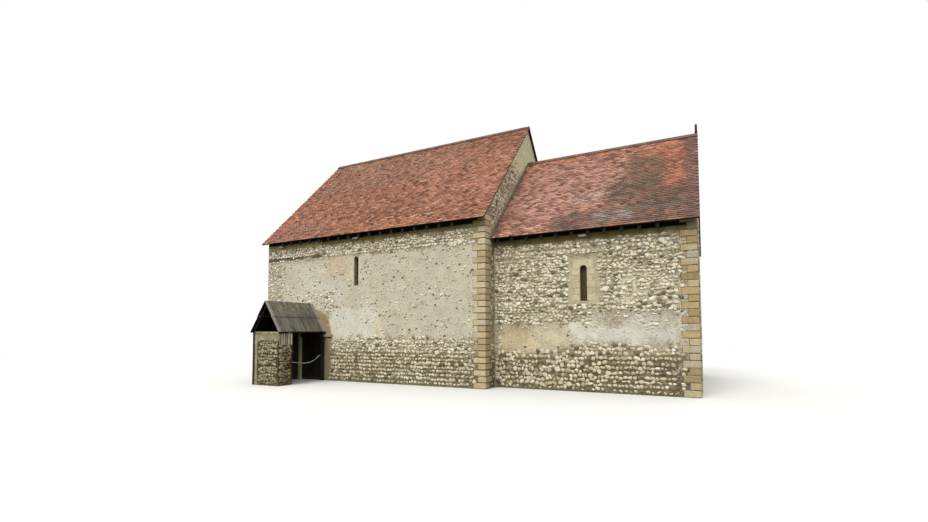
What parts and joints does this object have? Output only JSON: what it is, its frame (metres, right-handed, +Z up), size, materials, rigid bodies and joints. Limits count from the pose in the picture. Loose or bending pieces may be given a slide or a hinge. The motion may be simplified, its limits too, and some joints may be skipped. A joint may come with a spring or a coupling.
{
  "type": "small flint chapel with a lower chancel and a timber porch",
  "caption": "Small flint-walled chapel with a steep tiled nave roof, a lower chancel, slit windows and a low timber porch over its round-headed south door.",
  "frame": {"origin": "centre of the whole footprint, on the ground", "axes": "+X east along the ridge towards the chancel, +Y north, -Y south, where the porch and the door are, +Z up"},
  "size_m": [16.27, 10.42, 10.0778],
  "materials": {
    "flint_walling": "matte",
    "dressed_stone": "matte",
    "floor_stone": "matte",
    "oak_timber": "matte",
    "tarred_timber": "matte",
    "weathered_boards": "matte",
    "clay_tile": "matte",
    "window_glass": "gloss",
    "black_iron": "matte",
    "natural_rope": "matte",
    "grey_lamp_housing": "satin"
  },
  "bodies": {
    "chapel": {"nave_south_wall_west": "flint_walling", "nave_south_wall_east": "flint_walling", "nave_south_wall_over_door": "flint_walling", "nave_north_wall": "flint_walling", "nave_west_wall": "flint_walling", "nave_east_wall_piers": "flint_walling", "nave_east_gable": "flint_walling", "nave_quoins": "dressed_stone", "chancel_south_wall": "flint_walling", "chancel_north_wall": "flint_walling", "chancel_east_wall": "flint_walling", "chancel_quoins": "dressed_stone", "doorway_jambs": "dressed_stone", "doorway_arch": "dressed_stone", "doorway_lintel": "oak_timber", "chancel_arch": "dressed_stone", "window_dressings": "dressed_stone", "window_glazing": "window_glass", "stone_floors": "floor_stone", "nave_wall_plates": "oak_timber", "nave_tie_beams": "oak_timber", "nave_rafters_south": "oak_timber", "nave_rafters_north": "oak_timber", "nave_collars": "oak_timber", "nave_roof_south_tiles": "clay_tile", "nave_roof_north_tiles": "clay_tile", "ridge_tiles": "clay_tile", "chancel_wall_plates": "oak_timber", "chancel_tie_beams": "oak_timber", "chancel_rafters_south": "oak_timber", "chancel_rafters_north": "oak_timber", "chancel_collars": "oak_timber", "chancel_roof_south_tiles": "clay_tile", "chancel_roof_north_tiles": "clay_tile", "chancel_finial": "black_iron", "porch_front_wall": "flint_walling", "porch_posts": "tarred_timber", "porch_wall_plates": "tarred_timber", "porch_rafters": "tarred_timber", "porch_roof_east_boards": "weathered_boards", "porch_roof_west_boards": "weathered_boards", "porch_west_boarding": "tarred_timber", "porch_rope_pegs": "black_iron", "porch_rope": "natural_rope", "eave_lamps": "grey_lamp_housing", "door_pintles": "black_iron"},
    "door": {"door_boards": "oak_timber", "door_ledges": "oak_timber", "door_straps": "black_iron", "door_ring": "black_iron"}
  },
  "joints": [
    {"name": "door_hinge", "type": "hinge", "parent": "chapel", "child": "door", "pos_m": [-6.083, -2.722, 1], "axis": [0, 0, 1], "range_deg": [0, 95]}
  ]
}
